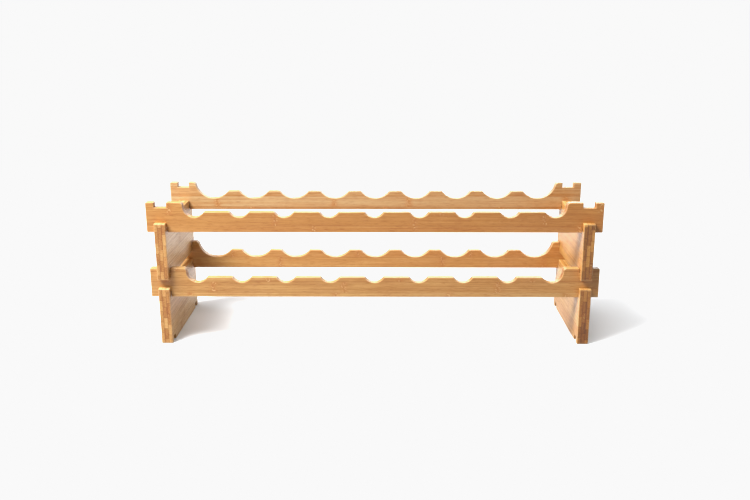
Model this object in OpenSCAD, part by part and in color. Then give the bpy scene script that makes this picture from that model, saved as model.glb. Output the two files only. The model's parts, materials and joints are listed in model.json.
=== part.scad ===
// Two-tier stacking bottle rack in laminated bamboo.
// Four end boards and four rails hold each other with cross laps, without screws or glue.
// X runs along the rails, Y from the necks (front) to the bottle bases (rear), Z is up.
// The origin is on the floor under the middle of the rack.

/* [Bottles] */
// Bottles side by side on one tier
bottles = 9; // [4:1:12]
// Distance from one bottle's axis to the next
pitch = 88.8; // [74:0.1:130]
// Radius of the scallops that carry the necks
neck_r = 22; // [16:0.5:28]
// Depth of the neck scallops below the land between them
neck_dip = 11; // [6:0.5:16]
// Radius of the scallops that carry the bodies
body_r = 40; // [33:0.5:50]
// Depth of the body scallops below the land between them
body_dip = 16; // [8:0.5:24]

/* [Rails] */
// Height of a rail at its ends
rail_h = 60; // [50:0.5:90]
// Thickness of a rail
rail_t = 15; // [10:0.5:22]
// Clear distance between the front and the rear rail
rail_gap = 190; // [150:1:240]
// Step down from the end blocks to the lands between the scallops
recess = 19; // [9:0.5:24]
// Length of a rear end block, from the outermost body scallop to the notch
block_len = 14; // [8:0.5:60]
// Length of the ear outside the notch
ear_len = 16.3; // [6:0.1:40]

/* [End boards] */
// Height of an end board
board_h = 116; // [90:0.5:180]
// Thickness of an end board
board_t = 22.5; // [15:0.5:32]
// Length of the horns that stand out past the rails
horn = 12.5; // [5:0.5:40]

/* [Cross laps] */
// Depth of the slots in the top edge of an end board
slot_top = 10; // [5:0.5:20]
// Depth of the slots in the bottom edge of an end board
slot_bottom = 11.5; // [5:0.5:20]
// Depth of the notches in the top edge of a rail
notch_top = 10.5; // [5:0.5:20]
// Depth of the notches in the bottom edge of a rail
notch_bottom = 10; // [5:0.5:18]
// Side clearance of an end board in a rail's notch, each side
board_play = 1; // [0.1:0.1:2]
// Side clearance of a rail in an end board's slot, each side
rail_play = 0.5; // [0.1:0.1:2]

/* [Rounding] */
// Radius of the end blocks' inner top corners
block_round = 7; // [2:0.5:8]
// Radius of the lips where a scallop meets a land
lip_round = 2.5; // [0.5:0.5:4]
// Radius of the boards' outer corners
corner_round = 2; // [0.5:0.5:4]

/* [Hidden] */
$fn = 96;
// how far waste runs past an edge, and how deep a rounding bites into its scallop
over = 1;
bite = 0.001;

// what the laps need
notch_w = board_t + 2 * board_play;
slot_w = rail_t + 2 * rail_play;

// along X
first_x = pitch * (bottles - 1) / 2;
notch_x = first_x + body_r + block_len;
board_x = notch_x + notch_w / 2;
rail_len = 2 * (notch_x + notch_w + ear_len);

// along Y
rail_y = (rail_gap + rail_t) / 2;
board_d = rail_gap + 2 * (rail_t + horn);

// along Z
land_z = rail_h - recess;
lower_rail_z = board_h - slot_top - notch_bottom;
upper_board_z = lower_rail_z + rail_h - notch_top - slot_bottom;
upper_rail_z = upper_board_z + lower_rail_z;

bamboo_face = [0.86, 0.63, 0.39];
bamboo_end = [0.80, 0.58, 0.35];

// waste beside a scallop: it rounds the scallop (radius r, centre at height cz) into the
// level edge at height lz with radius q, on the side given by s (1 or -1)
module lip(r, cz, lz, q, s) {
    fx = sqrt(pow(r + q - bite, 2) - pow(cz - lz + q, 2));
    scale([s, 1])
        difference() {
            if (cz < lz)
                polygon([[0, cz], [fx, lz - q], [fx, lz], [0, lz]]);
            else
                polygon([[0, cz], [fx, lz - q], [fx, lz]]);
            translate([fx, lz - q])
                circle(r = q);
        }
}

// waste of one scallop, between a left level and a right level
module scallop(r, dip, left_z, left_q, right_z, right_q) {
    cz = land_z - dip + r;
    translate([0, cz])
        circle(r = r);
    lip(r, cz, left_z, left_q, -1);
    lip(r, cz, right_z, right_q, 1);
}

// waste of a rounded outer corner at [x, z], pointing along sx and sz
module corner(x, z, sx, sz) {
    translate([x, z])
        scale([sx, sz])
            difference() {
                translate([-corner_round, -corner_round])
                    square(corner_round + over);
                translate([-corner_round, -corner_round])
                    circle(r = corner_round);
            }
}

module rail_outline(r, dip) {
    difference() {
        translate([-rail_len / 2, 0])
            square([rail_len, rail_h]);
        // lands
        translate([-first_x, land_z])
            square([2 * first_x, recess + over]);
        // scallops: the outermost ones run up into the end blocks
        for (i = [0 : bottles - 1])
            translate([i * pitch - first_x, 0])
                scallop(
                    r, dip,
                    i == 0 ? rail_h : land_z,
                    i == 0 ? block_round : lip_round,
                    i == bottles - 1 ? rail_h : land_z,
                    i == bottles - 1 ? block_round : lip_round
                );
        for (s = [-1, 1]) {
            // notches for the end boards below and above
            translate([s * board_x - notch_w / 2, -over])
                square([notch_w, notch_bottom + over]);
            translate([s * board_x - notch_w / 2, rail_h - notch_top])
                square([notch_w, notch_top + over]);
            corner(s * rail_len / 2, 0, s, -1);
            corner(s * rail_len / 2, rail_h, s, 1);
        }
    }
}

module board_outline() {
    difference() {
        translate([-board_d / 2, 0])
            square([board_d, board_h]);
        for (s = [-1, 1]) {
            // slots for the rails below and above
            translate([s * rail_y - slot_w / 2, -over])
                square([slot_w, slot_bottom + over]);
            translate([s * rail_y - slot_w / 2, board_h - slot_top])
                square([slot_w, slot_top + over]);
            corner(s * board_d / 2, 0, s, -1);
            corner(s * board_d / 2, board_h, s, 1);
        }
    }
}

module rail(side, z, r, dip) {
    color(bamboo_face)
        translate([0, side * rail_y, z])
            rotate([90, 0, 0])
                linear_extrude(height = rail_t, center = true)
                    rail_outline(r, dip);
}

module end_board(side, z) {
    color(bamboo_end)
        translate([side * board_x, 0, z])
            rotate([90, 0, 90])
                linear_extrude(height = board_t, center = true)
                    board_outline();
}

module lower_left_end() { end_board(-1, 0); }
module lower_right_end() { end_board(1, 0); }
module lower_front_rail() { rail(-1, lower_rail_z, neck_r, neck_dip); }
module lower_rear_rail() { rail(1, lower_rail_z, body_r, body_dip); }
module upper_left_end() { end_board(-1, upper_board_z); }
module upper_right_end() { end_board(1, upper_board_z); }
module upper_front_rail() { rail(-1, upper_rail_z, neck_r, neck_dip); }
module upper_rear_rail() { rail(1, upper_rail_z, body_r, body_dip); }

lower_left_end();
lower_right_end();
lower_front_rail();
lower_rear_rail();
upper_left_end();
upper_right_end();
upper_front_rail();
upper_rear_rail();
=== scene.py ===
import json
import math

import bpy
import numpy as np
from mathutils import Matrix, Vector


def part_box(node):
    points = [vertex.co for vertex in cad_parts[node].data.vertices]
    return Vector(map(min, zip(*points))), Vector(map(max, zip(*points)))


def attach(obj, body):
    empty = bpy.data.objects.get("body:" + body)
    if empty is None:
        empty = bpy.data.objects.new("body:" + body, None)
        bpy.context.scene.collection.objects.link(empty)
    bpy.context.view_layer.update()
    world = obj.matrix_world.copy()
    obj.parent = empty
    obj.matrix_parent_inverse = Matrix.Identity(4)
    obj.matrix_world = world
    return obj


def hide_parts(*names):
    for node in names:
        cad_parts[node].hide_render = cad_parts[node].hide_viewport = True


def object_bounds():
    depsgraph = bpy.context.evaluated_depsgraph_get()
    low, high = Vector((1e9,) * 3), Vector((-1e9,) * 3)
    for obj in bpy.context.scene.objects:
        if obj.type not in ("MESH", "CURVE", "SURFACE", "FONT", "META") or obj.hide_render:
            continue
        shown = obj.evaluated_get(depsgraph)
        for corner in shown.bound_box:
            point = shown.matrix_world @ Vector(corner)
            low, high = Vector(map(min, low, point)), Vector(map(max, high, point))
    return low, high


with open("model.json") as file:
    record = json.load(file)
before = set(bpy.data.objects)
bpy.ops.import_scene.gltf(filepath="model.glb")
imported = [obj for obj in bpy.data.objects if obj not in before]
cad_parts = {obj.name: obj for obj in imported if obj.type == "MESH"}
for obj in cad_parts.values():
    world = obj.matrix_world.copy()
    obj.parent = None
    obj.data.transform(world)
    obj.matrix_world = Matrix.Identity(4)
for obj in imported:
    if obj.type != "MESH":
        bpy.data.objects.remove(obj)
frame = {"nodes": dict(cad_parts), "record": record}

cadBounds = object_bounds()
record = frame["record"]
print("frame loaded:", len(frame["nodes"]), "boards")


cameraLook = dict(
    place=(0.0177, -1.7492, 0.6508),   # a little above the rack, looking down on it
    down=15.56,                        # degrees below level
    turn=0.57,                         # degrees to the left
    roll=-0.07,
    lens=41.14,                        # mm
    sensor=36.0,                       # mm across
    farthest=400.0,                    # metres that it sees
)


def makeCamera(look):
    # level camera looking along +Y, rolled about its view, tipped down, then turned about Z
    data = bpy.data.cameras.new("camera")
    data.lens = look["lens"]
    data.sensor_width = look["sensor"]
    data.clip_end = look["farthest"]
    camera = bpy.data.objects.new("camera", data)
    tip = Matrix.Rotation(math.radians(90 - look["down"]), 4, "X")
    turn = Matrix.Rotation(math.radians(look["turn"]), 4, "Z")
    roll = Matrix.Rotation(math.radians(look["roll"]), 4, "Z")
    camera.matrix_world = Matrix.Translation(look["place"]) @ turn @ tip @ roll
    bpy.context.scene.collection.objects.link(camera)
    bpy.context.scene.camera = camera


makeCamera(cameraLook)
print("camera placed")


# Board coordinates are metres from the board's middle: X along the grain, Y through the
# plies, Z across the strips.

def newGroup(name, inputs, outputs):
    # a group with named sockets: inputs and outputs are {name: (kind, default)}
    tree = bpy.data.node_groups.new(name, "ShaderNodeTree")
    for sockets, way in ((inputs, "INPUT"), (outputs, "OUTPUT")):
        for label, (kind, default) in sockets.items():
            socket = tree.interface.new_socket(label, in_out=way, socket_type="NodeSocket" + kind)
            if default is not None:
                socket.default_value = default
    start = tree.nodes.new("NodeGroupInput")
    end = tree.nodes.new("NodeGroupOutput")
    return tree, start.outputs, end.inputs


def place(tree, kind, inputs=None, **settings):
    # adds a node, sets its settings, then links or sets each input by name or number
    node = tree.nodes.new("ShaderNode" + kind)
    row, column = divmod(len(tree.nodes), 9)
    node.location = (180 * column, -220 * row)     # laid out in rows of nine
    for label, value in settings.items():
        setattr(node, label, value)
    for label, value in (inputs or {}).items():
        if isinstance(value, bpy.types.NodeSocket):
            tree.links.new(value, node.inputs[label])
        else:
            node.inputs[label].default_value = value
    return node


def calc(tree, operation, *values, clamp=False):
    # one Math node: operation on up to three numbers or sockets
    node = place(tree, "Math", dict(enumerate(values)), operation=operation, use_clamp=clamp)
    return node.outputs[0]


def fade(tree, value, start, end, first=0.0, last=1.0):
    # smooth step: first below start, last above end
    node = place(tree, "MapRange", {0: value, 1: start, 2: end, 3: first, 4: last},
                 interpolation_type="SMOOTHSTEP")
    return node.outputs[0]


def blendColours(tree, share, under, over, way="MIX"):
    # under towards over by share; 6 and 7 are the Mix node's two colours
    node = place(tree, "Mix", {0: share, 6: under, 7: over}, data_type="RGBA", blend_type=way)
    return node.outputs[2]


def sway(tree, value, amount, base):
    # base plus amount times how far value is above a half
    return calc(tree, "MULTIPLY_ADD", calc(tree, "SUBTRACT", value, 0.5), amount, base)


def noise(tree, point, scale, detail=2.0, roughness=0.5, distortion=0.0):
    # fractal noise of a point whose axes are each scaled, in features per metre
    scaled = place(tree, "VectorMath", {0: point, 1: scale}, operation="MULTIPLY")
    node = place(tree, "TexNoise", {"Vector": scaled.outputs[0], "Scale": 1.0, "Detail": detail,
                                    "Roughness": roughness, "Distortion": distortion})
    return node.outputs[0]


stripLook = dict(
    plyStep=0.38,                # of a strip, from each ply to the next
    jumps=(9.0, 4.0, 4.0),       # metres, how far apart the strips' patterns may start
)


def makeStripLayout(look):
    # plies side by side through Y and strips side by side through Z, each ply's strips stepped
    # by a share of a strip; a strip's number picks its tone; glue is near the borders
    tree, take, give = newGroup("stripLayout", {
        "Point": ("Vector", None),
        "Ply Thickness": ("Float", 0.0078),
        "Ply Shift": ("Float", 0.0),
        "Strip Width": ("Float", 0.022),
        "Strip Shift": ("Float", 0.0),
        "Glue Width": ("Float", 0.0004),
        "Seed": ("Float", 1.0),
    }, {
        "Strip Point": ("Vector", None),
        "Tone": ("Float", None),
        "Warmth": ("Float", None),
        "Glue": ("Float", None),
        "Skin": ("Float", None),
    })
    axis = place(tree, "SeparateXYZ", {0: take["Point"]}).outputs
    across = calc(tree, "ADD", calc(tree, "DIVIDE", axis[1], take["Ply Thickness"]), take["Ply Shift"])
    ply = calc(tree, "FLOOR", across)
    shift = calc(tree, "MULTIPLY_ADD", ply, look["plyStep"], take["Strip Shift"])
    upward = calc(tree, "ADD", calc(tree, "DIVIDE", axis[2], take["Strip Width"]), shift)
    strip = calc(tree, "FLOOR", upward)
    stripKey = place(tree, "CombineXYZ", {0: ply, 1: strip, 2: take["Seed"]})
    luck = place(tree, "TexWhiteNoise", {"Vector": stripKey.outputs[0]}, noise_dimensions="3D")
    parts = place(tree, "SeparateColor", {0: luck.outputs["Color"]}).outputs

    # distance to the nearest border, through the strips and through the plies
    nearStrip = calc(tree, "MULTIPLY", calc(tree, "PINGPONG", upward, 0.5), take["Strip Width"])
    nearPly = calc(tree, "MULTIPLY", calc(tree, "PINGPONG", across, 0.5), take["Ply Thickness"])
    nearest = calc(tree, "MINIMUM", nearStrip, nearPly)
    glue = fade(tree, nearest, 0.0, take["Glue Width"], 1.0, 0.0)

    # a strip is denser towards the cane's skin, which lies on either side of its ply
    side = calc(tree, "GREATER_THAN", parts[2], 0.5)
    skin = calc(tree, "ABSOLUTE", calc(tree, "SUBTRACT", calc(tree, "FRACT", across), side))
    tree.links.new(skin, give["Skin"])

    # each strip is its own length of cane, so its pattern starts from its own place
    jump = place(tree, "VectorMath", {0: luck.outputs["Color"], 1: look["jumps"]}, operation="MULTIPLY")
    moved = place(tree, "VectorMath", {0: take["Point"], 1: jump.outputs[0]}, operation="ADD")
    tree.links.new(moved.outputs[0], give["Strip Point"])
    tree.links.new(parts[0], give["Tone"])
    tree.links.new(parts[1], give["Warmth"])
    tree.links.new(glue, give["Glue"])
    return tree


fibreLook = dict(                            # lengths are times the width of a mark
    streakLength=150.0,
    fibreLength=160.0,
    vesselLength=26.0,
    vesselFade=0.06,                         # above the limit, where a vessel ends
    endLineScale=(60.0, 950.0, 70.0),        # features per metre
    streakFade=(0.28, 0.72),                 # values of the noise that give 0 and 1
    fibreFade=(0.25, 0.75),
    endLineFade=(0.28, 0.72),
    rough=0.55,
)


def makeCaneFibre(look):
    # three noises drawn out along X: wide streaks, fine fibres, and short dark vessel marks
    # where a third noise falls under a limit. A fourth is drawn out across the strip, for cut ends
    tree, take, give = newGroup("caneFibre", {
        "Strip Point": ("Vector", None),
        "Streak Width": ("Float", 0.0028),
        "Fibre Width": ("Float", 0.0007),
        "Vessel Limit": ("Float", 0.36),
    }, {
        "Streak": ("Float", None),
        "Fibre": ("Float", None),
        "Vessel": ("Float", None),
        "End Line": ("Float", None),
    })

    def drawnOut(width, ratio, detail):
        # noise features width wide and ratio times as long
        wide = calc(tree, "DIVIDE", 1.0, width)
        long = calc(tree, "DIVIDE", wide, ratio)
        scale = place(tree, "CombineXYZ", {0: long, 1: wide, 2: wide}).outputs[0]
        return noise(tree, take["Strip Point"], scale, detail, look["rough"])

    streak = drawnOut(take["Streak Width"], look["streakLength"], 3.0)
    tree.links.new(fade(tree, streak, *look["streakFade"]), give["Streak"])
    fibre = drawnOut(take["Fibre Width"], look["fibreLength"], 2.0)
    tree.links.new(fade(tree, fibre, *look["fibreFade"]), give["Fibre"])
    vessel = drawnOut(take["Fibre Width"], look["vesselLength"], 1.0)
    edge = calc(tree, "ADD", take["Vessel Limit"], look["vesselFade"])
    tree.links.new(fade(tree, vessel, take["Vessel Limit"], edge, 1.0, 0.0), give["Vessel"])
    endLine = noise(tree, take["Strip Point"], look["endLineScale"], 2.0)
    tree.links.new(fade(tree, endLine, *look["endLineFade"]), give["End Line"])
    return tree


knuckleLook = dict(                          # scales are features per metre, widths are metres
    wander=0.5,                              # of the spacing, over which a ring's place is drawn
    waverScale=(40.0, 130.0, 130.0),
    waver=0.012,                             # from one extreme to the other
    mottleScale=(240.0, 330.0, 330.0),
    faintest=0.25,                           # of the band, where the mottle is least
    bandMottle=(0.25, 0.60),                 # values of the mottle that give 0 and 1
    ringMottle=(0.42, 0.58),
    ringEdge=(0.0002, 0.0012),               # from the ring's middle, where it fades out
    speckScale=(300.0, 380.0, 380.0),
    speckFade=(0.56, 0.78),
    speckCore=0.001,
    speckReach=0.7,                          # of the band's width
)


def makeCaneKnuckle(look):
    # the cane's rings: one in each length of Spacing, at a random share of it, wavering with the
    # fibres; a soft band on the ring, mottled by round noise, with small pale specks in its middle
    tree, take, give = newGroup("caneKnuckle", {
        "Strip Point": ("Vector", None),
        "Spacing": ("Float", 0.26),
        "Band Width": ("Float", 0.009),
    }, {
        "Band": ("Float", None),
        "Ring": ("Float", None),
        "Speck": ("Float", None),
    })
    axis = place(tree, "SeparateXYZ", {0: take["Strip Point"]}).outputs
    along = calc(tree, "DIVIDE", axis[0], take["Spacing"])
    luck = place(tree, "TexWhiteNoise", {"W": calc(tree, "FLOOR", along)}, noise_dimensions="1D")
    centre = calc(tree, "MULTIPLY_ADD", luck.outputs["Value"], look["wander"],
                  (1 - look["wander"]) / 2)
    offset = calc(tree, "SUBTRACT", calc(tree, "FRACT", along), centre)
    wavy = noise(tree, take["Strip Point"], look["waverScale"])
    waver = calc(tree, "MULTIPLY_ADD", wavy, look["waver"], -look["waver"] / 2)
    away = calc(tree, "ABSOLUTE", calc(tree, "MULTIPLY_ADD", offset, take["Spacing"], waver))
    nearRing = fade(tree, away, 0.0, take["Band Width"], 1.0, 0.0)
    mottle = noise(tree, take["Strip Point"], look["mottleScale"], 2.0, 0.6)
    blotches = fade(tree, mottle, *look["bandMottle"], look["faintest"])
    tree.links.new(calc(tree, "MULTIPLY", nearRing, blotches), give["Band"])
    ring = fade(tree, away, *look["ringEdge"], 1.0, 0.0)
    broken = fade(tree, mottle, *look["ringMottle"])
    tree.links.new(calc(tree, "MULTIPLY", ring, broken), give["Ring"])
    dots = noise(tree, take["Strip Point"], look["speckScale"], 0.0)
    specks = fade(tree, dots, *look["speckFade"])
    speckEnd = calc(tree, "MULTIPLY", take["Band Width"], look["speckReach"])
    core = fade(tree, away, look["speckCore"], speckEnd, 1.0, 0.0)
    tree.links.new(calc(tree, "MULTIPLY", core, specks), give["Speck"])
    return tree


wearAndHighlightLook = dict(                             # scales are features per metre
    patchScale=(45.0, 120.0, 120.0),
    patchFade=(0.32, 0.62),                  # values of the noise that give 0 and 1
    smearScale=(7.0, 16.0, 16.0),
    smearFade=(0.3, 0.7),
    scratchScale=(140.0, 900.0, 420.0),
    scratchBend=1.2,
    scratchWidth=0.012,                      # in the noise's value, either side of its middle
    rareScale=(12.0, 30.0, 30.0),
    rareFade=(0.55, 0.68),
)


def makeWearAndHighlight(look):
    # wear and a painted highlight on the eased edges, broken up by noise; faint smears; and
    # scuffs, which are the thin lines where a noise passes its middle value, kept in a few places only
    tree, take, give = newGroup("wearAndEdgeHighlight", {
        "Point": ("Vector", None),
        "Edge": ("Float", 0.0),
        "Patchiness": ("Float", 0.6),
    }, {
        "Rub And Highlight": ("Float", None),
        "Smear": ("Float", None),
        "Scuff": ("Float", None),
    })
    patches = noise(tree, take["Point"], look["patchScale"], 3.0, 0.6)
    held = fade(tree, patches, *look["patchFade"])
    kept = calc(tree, "MULTIPLY_ADD", calc(tree, "SUBTRACT", held, 1.0), take["Patchiness"], 1.0)
    tree.links.new(calc(tree, "MULTIPLY", take["Edge"], kept, clamp=True), give["Rub And Highlight"])
    smear = noise(tree, take["Point"], look["smearScale"], 3.0, 0.6)
    tree.links.new(fade(tree, smear, *look["smearFade"]), give["Smear"])
    scratches = noise(tree, take["Point"], look["scratchScale"], 1.0, 0.4, look["scratchBend"])
    rare = noise(tree, take["Point"], look["rareScale"], 1.0)
    offMiddle = calc(tree, "ABSOLUTE", calc(tree, "SUBTRACT", scratches, 0.5))
    thin = fade(tree, offMiddle, 0.0, look["scratchWidth"], 1.0, 0.0)
    few = fade(tree, rare, *look["rareFade"])
    tree.links.new(calc(tree, "MULTIPLY", thin, few), give["Scuff"])
    return tree


groups = dict(
    stripLayout=makeStripLayout(stripLook),
    caneFibre=makeCaneFibre(fibreLook),
    caneKnuckle=makeCaneKnuckle(knuckleLook),
    wearAndEdgeHighlight=makeWearAndHighlight(wearAndHighlightLook),
)
print("shader groups made:", ", ".join(groups))


def rgb(red, green, blue):
    # display values 0 to 255 to linear light
    share = np.array([red, green, blue]) / 255
    linear = np.where(share <= 0.04045, share / 12.92, ((share + 0.055) / 1.055) ** 2.4)
    return (*linear.tolist(), 1.0)


def useGroup(tree, name, inputs):
    # one of the groups above, with its inputs linked or set by name
    return place(tree, "Group", inputs, node_tree=groups[name]).outputs


def bambooMaterial(name, look, middle, turn):
    # laminated bamboo in board coordinates: object coordinates from the board's middle, turned
    # so that X runs along the grain
    material = bpy.data.materials.new(name)
    material.use_nodes = True
    tree = material.node_tree
    shader = tree.nodes["Principled BSDF"]
    objectPoint = place(tree, "TexCoord").outputs["Object"]
    centred = place(tree, "Mapping", {"Vector": objectPoint, "Location": tuple(-v for v in middle)},
                    vector_type="POINT").outputs[0]
    point = place(tree, "Mapping", {"Vector": centred, "Rotation": (0.0, 0.0, turn)}).outputs[0]
    cut = place(tree, "Attribute", attribute_name="endGrain").outputs["Fac"]
    edge = place(tree, "Attribute", attribute_name="easedEdge").outputs["Fac"]

    strips = useGroup(tree, "stripLayout", {
        "Point": point, "Ply Thickness": look["plyThickness"], "Ply Shift": look["plyShift"],
        "Strip Width": look["stripWidth"], "Strip Shift": look["stripShift"],
        "Glue Width": look["glueWidth"], "Seed": look["seed"]})
    fibre = useGroup(tree, "caneFibre", {
        "Strip Point": strips["Strip Point"], "Streak Width": look["streakWidth"],
        "Fibre Width": look["fibreWidth"]})
    knuckle = useGroup(tree, "caneKnuckle", {
        "Strip Point": strips["Strip Point"], "Spacing": look["knuckleSpacing"],
        "Band Width": look["bandWidth"]})
    wearAndHighlight = useGroup(tree, "wearAndEdgeHighlight", {"Point": point, "Edge": edge})

    # how deep each strip's tone is: its own luck, clouds and streaks, each spread by the look
    tone = sway(tree, strips["Tone"], look["toneSpread"], look["toneMean"])
    cloud = noise(tree, strips["Strip Point"], look["cloudScale"], 2.0)
    tone = sway(tree, cloud, look["cloudSpread"], tone)
    tone = sway(tree, fibre["Streak"], look["streakSpread"], tone)
    ramp = place(tree, "ValToRGB", {"Fac": tone})
    stops = ramp.color_ramp.elements
    stops[0].position, stops[0].color = 0.0, look["pale"]
    stops[1].position, stops[1].color = 1.0, look["deep"]
    stops.new(0.5).color = look["honey"]
    colour = ramp.outputs[0]

    # warmth differs between strips; along the rails a painted shade also makes the colour warmer and
    # deeper towards the right end, away from the key light
    along = place(tree, "SeparateXYZ", {0: point}).outputs[0]
    warmthAndPaintedShade = calc(tree, "MULTIPLY_ADD", along, look["paintedShadeDrift"], look["warmMean"])
    warm = calc(tree, "MULTIPLY_ADD", strips["Warmth"], look["warmSpread"], warmthAndPaintedShade, clamp=True)
    colour = blendColours(tree, warm, colour, look["warm"])

    def layer(mask, part, way="MIX"):
        # the part's colour over the colour so far, by its mask and share
        share = calc(tree, "MULTIPLY", mask, look[part + "Share"])
        return blendColours(tree, share, colour, look[part + "Colour"], way)

    colour = layer(fibre["Fibre"], "fibre", "MULTIPLY")
    colour = layer(fibre["Vessel"], "vessel", "MULTIPLY")
    colour = layer(knuckle["Band"], "band")
    colour = layer(knuckle["Ring"], "ring")
    colour = layer(knuckle["Speck"], "speck")

    # cut ends are darker, with the plies' tones further apart, and lined and deeper by the skin
    endDepth = calc(tree, "MULTIPLY", strips["Tone"], look["endSpread"])
    skin = fade(tree, strips["Skin"], *look["skinFade"])
    endDepth = calc(tree, "MULTIPLY_ADD", skin, look["skinShare"], endDepth)
    endDepth = sway(tree, fibre["End Line"], look["endLineShare"], endDepth)
    endTone = place(tree, "ValToRGB", {"Fac": endDepth})
    ends = endTone.color_ramp.elements
    ends[0].position, ends[0].color = 0.1, look["endPale"]
    ends[1].position, ends[1].color = 0.9, look["endDeep"]
    endShare = fade(tree, cut, *look["cutFade"], 0.0, look["endShare"])
    colour = blendColours(tree, endShare, colour, endTone.outputs[0], "MULTIPLY")
    colour = layer(strips["Glue"], "glue", "MULTIPLY")
    # painted highlight: the eased edges are lightened, partly as rubbed wear and partly as a highlight
    # along the edges
    colour = layer(wearAndHighlight["Rub And Highlight"], "rub")
    colour = layer(wearAndHighlight["Scuff"], "scuff")
    tree.links.new(colour, shader.inputs["Base Color"])

    def total(value, kind, **masks):
        # value plus each mask times the look's amount of that kind for it
        for part, mask in masks.items():
            value = calc(tree, "MULTIPLY_ADD", mask, look[part + kind], value)
        return value

    # satin lacquer: thinner over the vessels, dull on cut ends and scuffs, polished where rubbed
    rough = total(look["roughness"], "Dull", smear=wearAndHighlight["Smear"], end=endShare, vessel=fibre["Vessel"],
                  scuff=wearAndHighlight["Scuff"])
    rough = calc(tree, "MULTIPLY_ADD", wearAndHighlight["Rub And Highlight"], look["rubDull"], rough, clamp=True)
    tree.links.new(rough, shader.inputs["Roughness"])
    shader.inputs["Coat Weight"].default_value = look["lacquer"]
    shader.inputs["Coat Roughness"].default_value = look["lacquerRoughness"]

    # relief in parts of the bump's depth: fibres stand, vessels, glue lines and rings sink
    height = total(0.5, "Height", fibre=fibre["Fibre"], streak=fibre["Streak"], vessel=fibre["Vessel"],
                   glue=strips["Glue"], ring=knuckle["Ring"], band=knuckle["Band"])
    relief = place(tree, "Bump", {"Strength": 1.0, "Distance": look["reliefDepth"], "Height": height})
    tree.links.new(relief.outputs[0], shader.inputs["Normal"])
    return material


bambooLook = dict(                       # what every board shares
    pale=rgb(240, 205, 134),
    honey=rgb(224, 177, 102),
    deep=rgb(196, 144, 76),
    warm=rgb(204, 134, 61),
    warmMean=0.15,
    warmSpread=0.30,
    # painted shade: how much the warm colour's share grows per metre towards +X
    paintedShadeDrift=0.0,                       # per metre along the grain
    toneMean=0.5,                        # 0 pale, 1 deep, and its spread round that
    toneSpread=0.60,
    cloudSpread=0.70,
    cloudScale=(9.0, 60.0, 60.0),        # features per metre
    streakSpread=0.62,
    stripWidth=0.0225,
    glueWidth=0.0008,
    glueColour=rgb(176, 134, 94),
    glueShare=0.85,
    streakWidth=0.0022,
    fibreWidth=0.0007,
    fibreColour=rgb(228, 208, 184),
    fibreShare=0.85,
    vesselColour=rgb(196, 156, 114),
    vesselShare=0.55,
    knuckleSpacing=0.27,
    bandWidth=0.012,
    bandColour=rgb(198, 134, 68),
    bandShare=0.85,
    ringColour=rgb(142, 88, 42),
    ringShare=0.38,
    speckColour=rgb(244, 214, 148),
    speckShare=0.80,
    endPale=rgb(228, 214, 198),
    endDeep=rgb(180, 142, 106),
    endSpread=0.72,
    endShare=0.9,
    cutFade=(0.35, 0.95),                # shares of cut fibres that give 0 and 1
    skinFade=(0.35, 1.0),
    skinShare=0.28,
    endLineShare=0.34,
    # lighter colour of the eased edges: rubbed wear, and partly a painted edge highlight
    rubColour=rgb(238, 194, 134),
    rubShare=0.38,
    scuffColour=rgb(238, 194, 134),
    scuffShare=0.25,
    lacquer=0.12,
    lacquerRoughness=0.32,
    roughness=0.40,                      # and what each mark adds to it
    smearDull=0.09,
    endDull=0.16,
    vesselDull=0.08,
    scuffDull=0.20,
    rubDull=-0.07,
    reliefDepth=0.00010,                 # metres, as every width above, and parts of it
    fibreHeight=0.18,
    streakHeight=0.12,
    vesselHeight=-0.22,
    glueHeight=-0.45,
    ringHeight=-0.35,
    bandHeight=0.25,
)


edgeLook = dict(
    ease=0.0009,           # radius of the eased long edges
    easeSteps=4,
    edgeBandReach=0.0018,      # how far the wear and the painted edge highlight reach in from an edge
    arcStep=0.0012,        # spacing of points round an arc
    arcLeast=4,            # fewest points round an arc
    cornerPoints=7,        # points round a rounded corner
    snug=0.92,             # most of a tight corner's radius that an inset may take
    tightCorner=0.004,     # outer corners with a smaller radius get the wear and painted highlight all over
    cornerWearAndHighlight=0.8,
    bendCosine=0.8,        # faces closer in direction than this are one smooth bend
    sharpAngle=35.0,       # degrees
)


def roundedCorners(corners):
    # corners are rows (across, up, radius) of a right-angled outline, anticlockwise. A corner with
    # a radius becomes a quarter circle: its centre plus the radius times (sin t along the way in,
    # minus cos t along the way out), with a guard point beyond each end
    rows = np.array(corners, float)
    here = rows[:, :2]
    wayIn = here - np.roll(here, 1, axis=0)
    wayOut = np.roll(here, -1, axis=0) - here
    wayIn /= np.linalg.norm(wayIn, axis=1, keepdims=True)
    wayOut /= np.linalg.norm(wayOut, axis=1, keepdims=True)
    pieces = []
    for spot, a, b, radius in zip(here, wayIn, wayOut, rows[:, 2]):
        if radius == 0:
            pieces.append(np.append(spot, np.inf)[None])
            continue
        t = np.linspace(0, math.pi / 2, edgeLook["cornerPoints"])[:, None]
        centre = spot + radius * (b - a)
        curve = centre + radius * (np.sin(t) * a - np.cos(t) * b)
        guard = radius + edgeLook["edgeBandReach"]
        turnsOut = a[0] * b[1] - a[1] * b[0] > 0
        tight = np.full((len(t), 1), radius if turnsOut else np.inf)
        before = np.append(spot - guard * a, np.inf)[None]
        after = np.append(spot + guard * b, np.inf)[None]
        pieces += [before, np.hstack([curve, tight]), after]
    return pieces


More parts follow.
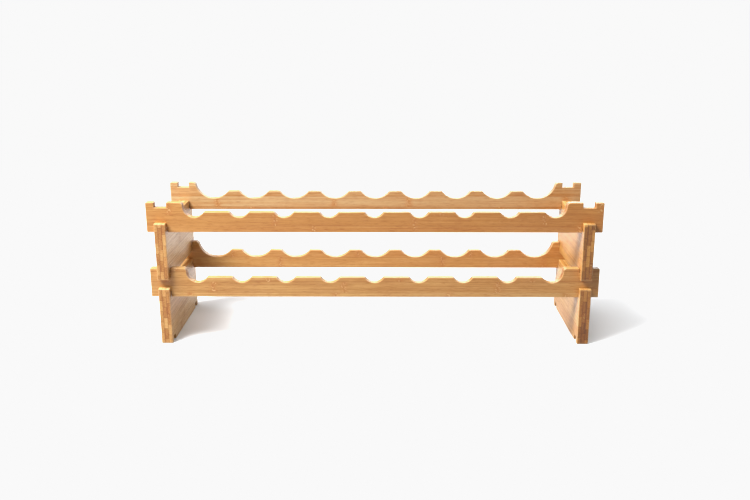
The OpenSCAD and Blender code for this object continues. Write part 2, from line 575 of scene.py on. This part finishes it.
def scallopPoints(middle, bottom, radius, right, left):
    # from right to left: a rounded lip, the scallop's arc, the other lip. right and left are
    # (level, lip radius); a lip's centre is one lip radius under its level and the two radii
    # from the scallop's centre, so the arcs meet smoothly
    centreUp = bottom + radius
    lips = []
    for level, lip in (right, left):
        drop = level - lip - centreUp
        reach = math.sqrt((radius + lip) ** 2 - drop ** 2)
        lips.append((reach, level - lip, lip, math.atan2(drop, reach)))
    (reachR, upR, lipR, tiltR), (reachL, upL, lipL, tiltL) = lips

    def arc(across, up, r, start, end, tight):
        # centre plus r times (cos t, sin t), in even steps
        count = max(edgeLook["arcLeast"], int(abs(end - start) * r / edgeLook["arcStep"]) + 2)
        t = np.linspace(start, end, count)
        return np.stack([across + r * np.cos(t), up + r * np.sin(t), np.full(count, tight)], axis=1)

    half = math.pi / 2
    guard = edgeLook["edgeBandReach"]
    first = [[middle + reachR + guard, upR + lipR, np.inf]]
    last = [[middle - reachL - guard, upL + lipL, np.inf]]
    return np.vstack([
        first,
        arc(middle + reachR, upR, lipR, half, math.pi + tiltR, lipR),
        arc(middle, centreUp, radius, tiltR, -math.pi - tiltL, np.inf)[1:-1],
        arc(middle - reachL, upL, lipL, -tiltL, half, lipL),
        last,
    ])


def notchCorners(middle, side, edge, floor, mouth):
    # a square notch in a level edge, from left to right, with rounded mouths
    return [(middle - side, edge, mouth), (middle - side, floor, 0),
            (middle + side, floor, 0), (middle + side, edge, mouth)]


def railOutline(length, height, notchMiddle, notchWidth, bottleSpots, shape):
    # the notched straight edges, with the run of scallops let into the top edge
    end, side = length / 2, notchWidth / 2
    soft, mouth = shape["cornerRound"], shape["mouthRound"]
    low, high = shape["notchBottom"], height - shape["notchTop"]
    bottomEdge = [(-end, 0, soft)]
    for middle in (-notchMiddle, notchMiddle):
        bottomEdge += notchCorners(middle, side, 0, low, mouth)
    bottomEdge += [(end, 0, soft)]
    topRight = [(end, height, soft)] + notchCorners(notchMiddle, side, height, high, mouth)[::-1]
    topLeft = [(-across, up, r) for across, up, r in topRight[::-1]]
    pieces = roundedCorners(bottomEdge + topRight + topLeft)
    # each corner with a radius gives three pieces and a sharp one gives one
    before = sum(3 if r else 1 for _, _, r in bottomEdge + topRight)
    land = height - shape["recess"]
    block = (height, shape["blockRound"])
    lip = (land, shape["lipRound"])
    scallops = []
    for spot in bottleSpots[::-1]:
        right = block if spot == bottleSpots[-1] else lip
        left = block if spot == bottleSpots[0] else lip
        scallops.append(scallopPoints(spot, land - shape["dip"], shape["radius"], right, left))
    return np.vstack(pieces[:before] + scallops + pieces[before:])


def endOutline(depth, height, slotMiddle, slotWidth, shape):
    # a rectangle with two slots in its bottom edge and two in its top edge
    end, side = depth / 2, slotWidth / 2
    soft, mouth = shape["cornerRound"], shape["mouthRound"]
    low, high = shape["slotBottom"], height - shape["slotTop"]
    corners = [(-end, 0, soft)]
    for middle in (-slotMiddle, slotMiddle):
        corners += notchCorners(middle, side, 0, low, mouth)
    corners += [(end, 0, soft), (end, height, soft)]
    for middle in (slotMiddle, -slotMiddle):
        corners += notchCorners(middle, side, height, high, mouth)[::-1]
    corners += [(-end, height, soft)]
    return np.vstack(roundedCorners(corners))


def boardMesh(name, outline, thickness, toFrame):
    # a rounded edge profile carried round the outline: each point is the outline's point, less the
    # profile's inset along the outline's normal, at the profile's depth. Two flat caps close it.
    # toFrame turns (across, up, depth) into frame coordinates; the fibres run across
    flat, tight = outline[:, :2], outline[:, 2]
    ahead = np.roll(flat, -1, axis=0) - flat
    ahead /= np.linalg.norm(ahead, axis=1, keepdims=True)
    faceNormal = np.stack([ahead[:, 1], -ahead[:, 0]], axis=1)
    before = np.roll(faceNormal, 1, axis=0)
    cosine = np.sum(before * faceNormal, axis=1, keepdims=True)
    mitre = (before + faceNormal) / (1 + cosine)

    ease, reach = edgeLook["ease"], edgeLook["edgeBandReach"]
    t = np.linspace(0, math.pi / 2, edgeLook["easeSteps"] + 1)
    inset = np.concatenate([[reach], ease * (1 - np.sin(t)), [0.0]])
    depth = thickness / 2 - np.concatenate([[0.0], ease * (1 - np.cos(t)), [reach]])
    wornAndHighlit = np.concatenate([[0.0], np.full(len(t), 1.0), [0.0]])
    faceShare = np.concatenate([[0.0], np.sin(t), [1.0]])         # 0 on the caps, 1 on the edge
    inset = np.concatenate([inset, inset[::-1]])
    depth = np.concatenate([depth, -depth[::-1]])
    wornAndHighlit = np.concatenate([wornAndHighlit, wornAndHighlit[::-1]])
    faceShare = np.concatenate([faceShare, faceShare[::-1]])

    # grid of points: rows round the outline, columns across the profile
    rows, columns = len(flat), len(inset)
    least = np.minimum(inset[None, :], edgeLook["snug"] * tight[:, None])
    grid = flat[:, None, :] - least[:, :, None] * mitre[:, None, :]
    points = toFrame(grid[..., 0], grid[..., 1], np.broadcast_to(depth, (rows, columns)))
    number = np.arange(rows * columns).reshape(rows, columns)
    follow = np.roll(number, -1, axis=0)
    quads = np.stack([number[:, :-1], number[:, 1:], follow[:, 1:], follow[:, :-1]], axis=-1)
    quads = quads.reshape(-1, 4)
    caps = [number[:, 0].tolist(), number[::-1, -1].tolist()]

    mesh = bpy.data.meshes.new(name)
    mesh.from_pydata(points.reshape(-1, 3).tolist(), [], quads.tolist() + caps)
    smooth = np.ones(len(quads) + 2, bool)
    smooth[-2:] = False
    mesh.polygons.foreach_set("use_smooth", smooth)

    # edge wear and painted edge highlight on the points: the eased edges and the tight outer corners
    cornerWornAndHighlit = np.where(tight < edgeLook["tightCorner"], edgeLook["cornerWearAndHighlight"], 0.0)
    edgeValue = np.maximum(wornAndHighlit[None, :], cornerWornAndHighlit[:, None] * (faceShare > 0.5)[None, :])
    eased = mesh.attributes.new("easedEdge", "FLOAT", "POINT")
    eased.data.foreach_set("value", edgeValue.astype(np.float32).ravel())

    # share of cut fibres on each face's corners: the normal's part along the grain. Round a
    # smooth bend the normal is the mean of the two faces, at a sharp corner each face keeps its own
    alongFace = np.abs(faceNormal[:, 0])
    mean = before + faceNormal
    mean /= np.maximum(np.linalg.norm(mean, axis=1, keepdims=True), 1e-9)
    alongMean = np.abs(mean[:, 0])
    bend = cosine[:, 0] > edgeLook["bendCosine"]
    start = np.where(bend, alongMean, alongFace)
    end = np.where(np.roll(bend, -1), np.roll(alongMean, -1), alongFace)
    lo, hi = faceShare[None, :-1], faceShare[None, 1:]
    corners = np.stack([start[:, None] * lo, start[:, None] * hi,
                        end[:, None] * hi, end[:, None] * lo], axis=-1)
    cutValue = np.concatenate([corners.ravel(), np.zeros(2 * rows)])
    cut = mesh.attributes.new("endGrain", "FLOAT", "CORNER")
    cut.data.foreach_set("value", cutValue.astype(np.float32))

    mesh.set_sharp_from_angle(angle=math.radians(edgeLook["sharpAngle"]))
    mesh.validate()
    piece = bpy.data.objects.new(name, mesh)
    bpy.context.scene.collection.objects.link(piece)
    return piece


def bodyOf(node):
    # the moving body that holds a board
    return next(body for body, members in record["behaviour"]["bodies"].items() if node in members)


boards = []              # the finished boards, for the light that falls on them only


def finishPiece(piece, node, material):
    # the piece stands in for the plain board and moves with its body
    boards.append(piece)
    piece.data.materials.append(material)
    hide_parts(node)
    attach(piece, bodyOf(node))


# where the boards cross, from the frame
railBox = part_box("lower_front_rail")
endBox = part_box("lower_right_end")
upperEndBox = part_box("upper_right_end")
bottleSpots = sorted(
    (o["box_m"][0][0] + o["box_m"][1][0]) / 2
    for o in record["physics"]["openings"] if o["name"].startswith("lower_bottle"))
underLap = endBox[1].z - railBox[0].z           # a rail's bottom notch and a board's top slot
overLap = railBox[1].z - upperEndBox[0].z       # a rail's top notch and a board's bottom slot

railShape = dict(            # metres
    recess=0.019,            # end blocks down to the lands
    lipRound=0.0025,
    blockRound=0.007,
    cornerRound=0.002,
    mouthRound=0.0012,
    notchBottom=0.010,
    notchTop=0.0105,
    notchPlay=0.001,         # each side of an end board
    plySpare=1.05,           # a ply before planing, over its share of the board
)
neckScallop = dict(radius=0.022, dip=0.011)
bodyScallop = dict(radius=0.040, dip=0.016)

endShape = dict(
    cornerRound=0.002,
    mouthRound=0.0012,
    slotPlay=0.0005,         # each side of a rail
    plySpare=1.05,
)
endShape["slotTop"] = underLap - railShape["notchBottom"]
endShape["slotBottom"] = overLap - railShape["notchTop"]


def makeRail(node, scallop, look):
    # a board on edge along X: its outline lies in X and Z, its thickness in Y, in two plies
    low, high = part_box(node)
    middle = (low + high) / 2
    thickness = high.y - low.y
    notchMiddle = (endBox[0].x + endBox[1].x) / 2
    notchWidth = endBox[1].x - endBox[0].x + 2 * railShape["notchPlay"]
    outline = railOutline(high.x - low.x, high.z - low.z, notchMiddle, notchWidth, bottleSpots,
                          {**railShape, **scallop})

    def toFrame(across, up, depth):
        # across along X, up along Z, depth towards the front
        return np.stack([across, middle.y - depth, low.z + up], axis=-1)

    name = node.replace("_", "-") + "-bamboo"
    piece = boardMesh(name, outline, thickness, toFrame)
    plies = dict(plyThickness=railShape["plySpare"] * thickness / 2, plyShift=0.0)
    finishPiece(piece, node, bambooMaterial(name, {**bambooLook, **plies, **look}, middle, 0.0))


def makeEnd(node, look):
    # a board on edge along Y: its outline lies in Y and Z, its thickness in X, in three plies
    low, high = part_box(node)
    middle = (low + high) / 2
    thickness = high.x - low.x
    rails = [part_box(n) for n in ("lower_front_rail", "lower_rear_rail")]
    slotMiddle = abs(rails[1][0].y + rails[1][1].y) / 2
    slotWidth = rails[0][1].y - rails[0][0].y + 2 * endShape["slotPlay"]
    outline = endOutline(high.y - low.y, high.z - low.z, slotMiddle, slotWidth, endShape)

    def toFrame(across, up, depth):
        # across along Y, up along Z, depth towards the right
        return np.stack([middle.x + depth, across, low.z + up], axis=-1)

    name = node.replace("_", "-") + "-bamboo"
    piece = boardMesh(name, outline, thickness, toFrame)
    plies = dict(plyThickness=endShape["plySpare"] * thickness / 3, plyShift=0.5)
    material = bambooMaterial(name, {**bambooLook, **plies, **look}, middle, -math.pi / 2)
    finishPiece(piece, node, material)


# what sets each board apart from bambooLook: seed and stripShift pick its strips; the drift along the
# grain is painted shade, warming each rail towards its right end
railLooks = {
    "lower_front_rail": dict(
        seed=3.0,
        stripShift=0.313,
        paintedShadeDrift=0.25,
        warmMean=0.0,
        toneMean=0.44,
        pale=rgb(242, 213, 147),
        honey=rgb(228, 187, 115),
    ),
    "upper_front_rail": dict(seed=8.0, stripShift=0.135, paintedShadeDrift=0.35),
    "lower_rear_rail": dict(seed=12.0, stripShift=0.62, paintedShadeDrift=0.35),
    "upper_rear_rail": dict(
        seed=17.0,
        stripShift=0.44,
        paintedShadeDrift=0.20,
        warmMean=0.0,
        pale=rgb(238, 221, 174),
        honey=rgb(224, 191, 137),
    ),
}
leftEndLook = dict(
    warmMean=0.0,
    warmSpread=0.15,
    toneMean=0.42,
    pale=rgb(244, 214, 152),
    honey=rgb(228, 185, 118),
)
rightEndLook = dict(
    warmMean=0.05,
    endPale=rgb(224, 206, 186),
    endDeep=rgb(124, 92, 68),
)
endLooks = {
    "lower_left_end": dict(leftEndLook, seed=21.0, stripShift=0.15),
    "lower_right_end": dict(
        rightEndLook,
        seed=26.0,
        stripShift=0.55,
        endPale=rgb(200, 172, 144),
        endDeep=rgb(110, 76, 50),
    ),
    "upper_left_end": dict(leftEndLook, seed=34.0, stripShift=0.78),
    "upper_right_end": dict(rightEndLook, seed=38.0, stripShift=0.31),
}

for node, look in railLooks.items():
    makeRail(node, neckScallop if "front" in node else bodyScallop, look)
print("rails made")
for node, look in endLooks.items():
    makeEnd(node, look)
print("end boards made")


studio = dict(                           # metres, watts, linear colours
    floorReach=2.6,
    floorFade=(1.1, 2.4),                # from where to where the floor fades out
    floorColour=(0.85, 0.865, 0.88, 1.0),
    floorRoughness=0.9,
    floorShine=0.2,
    bounceColour=(0.17, 0.16, 0.15, 1.0),
    paperWhite=0.947,                    # the brightest that anything gets
    skyColour=(1.0, 0.98, 0.94, 1.0),
    skyStrength=0.22,
    keyToward=(-0.527, -0.366, 0.766),   # high on the left, in front
    keyDistance=2.5,
    keySize=1.15,
    keyPower=159.0,
    rearToward=(0.16, 0.94, 0.30),       # behind; lights the rack only, not the floor
    rearDistance=2.2,
    rearSize=1.6,
    rearPower=42.0,
    paperToward=(-0.25, -0.17, 0.95),    # above; lights the floor only
    paperPower=3.5,                      # watts to the square metre
    paperSpread=70.0,                    # degrees
)


def makeFloor(look):
    # one square on the rack's underside, fading into the white surround with its distance from
    # the rack; to the rack it is a duller paper, so that it doesn't wash the shade out
    reach, level = look["floorReach"], cadBounds[0].z
    mesh = bpy.data.meshes.new("paper-floor")
    mesh.from_pydata([(-reach, -reach, level), (reach, -reach, level), (reach, reach, level),
                      (-reach, reach, level)], [], [(0, 1, 2, 3)])
    floor = bpy.data.objects.new("paper-floor", mesh)
    bpy.context.scene.collection.objects.link(floor)
    material = bpy.data.materials.new("paper-floor")
    material.use_nodes = True
    tree = material.node_tree
    shader = tree.nodes["Principled BSDF"]
    away = place(tree, "VectorMath", {0: place(tree, "TexCoord").outputs["Object"]}, operation="LENGTH")
    start, end = look["floorFade"]
    tree.links.new(fade(tree, away.outputs["Value"], start, end, 1.0, 0.0), shader.inputs["Alpha"])
    shader.inputs["Roughness"].default_value = look["floorRoughness"]
    shader.inputs["Specular IOR Level"].default_value = look["floorShine"]
    shader.inputs["Base Color"].default_value = look["floorColour"]
    dull = place(tree, "BsdfDiffuse", {"Color": look["bounceColour"]}).outputs[0]
    isBounce = place(tree, "LightPath").outputs["Is Diffuse Ray"]
    both = place(tree, "MixShader", {0: isBounce, 1: shader.outputs[0], 2: dull}).outputs[0]
    tree.links.new(both, tree.nodes["Material Output"].inputs["Surface"])
    mesh.materials.append(material)
    return floor


def makeSky(look):
    # an even white surround; the camera sees it as the same white as the floor
    world = bpy.data.worlds.new("studio")
    bpy.context.scene.world = world
    world.use_nodes = True
    tree = world.node_tree
    tree.nodes.clear()
    lit = place(tree, "Background", {"Color": look["skyColour"], "Strength": look["skyStrength"]})
    seen = place(tree, "Background", {"Color": (1.0, 1.0, 1.0, 1.0), "Strength": 1.0})
    isCamera = place(tree, "LightPath").outputs["Is Camera Ray"]
    mix = place(tree, "MixShader", {0: isCamera, 1: lit.outputs[0], 2: seen.outputs[0]})
    place(tree, "OutputWorld", {0: mix.outputs[0]})


def hangLight(name, data, toward, distance):
    # a lamp at a distance from the rack, facing its middle
    lamp = bpy.data.objects.new(name, data)
    direction = Vector(toward).normalized()
    lamp.location = (cadBounds[0] + cadBounds[1]) / 2 + direction * distance
    lamp.rotation_euler = direction.to_track_quat("Z", "Y").to_euler()
    bpy.context.scene.collection.objects.link(lamp)
    return lamp


def softBox(name, look):
    # a square soft box, from the look's size, power, direction and distance
    data = bpy.data.lights.new(name, "AREA")
    data.shape, data.size, data.energy = "SQUARE", look[name + "Size"], look[name + "Power"]
    return hangLight(name, data, look[name + "Toward"], look[name + "Distance"])


def lightOnly(lamp, name, objects):
    # the lamp lights these objects and no others
    receivers = bpy.data.collections.new(name)
    for receiver in objects:
        receivers.objects.link(receiver)
    lamp.light_linking.receiver_collection = receivers


def makeLights(look, floor, rack):
    # the key is high on the left, near enough to fade along the rack; another box fills the back
    # of the rack; a broad light keeps the floor white
    softBox("key", look)
    lightOnly(softBox("rear", look), "onlyRack", rack)
    paper = bpy.data.lights.new("paper", "SUN")
    paper.energy, paper.angle = look["paperPower"], math.radians(look["paperSpread"])
    lightOnly(hangLight("paper", paper, look["paperToward"], look["keyDistance"]), "onlyFloor", [floor])


def setPaperWhite(look):
    # colours as they are, times the paper's white and never brighter; curve 3 is the one that
    # acts on red, green and blue together
    view = bpy.context.scene.view_settings
    view.view_transform = "Standard"
    view.use_curve_mapping = True
    view.curve_mapping.extend = "HORIZONTAL"
    view.curve_mapping.curves[3].points[1].location = (1.0, look["paperWhite"])
    view.curve_mapping.update()


floor = makeFloor(studio)
makeSky(studio)
makeLights(studio, floor, boards)
setPaperWhite(studio)
print("studio made")
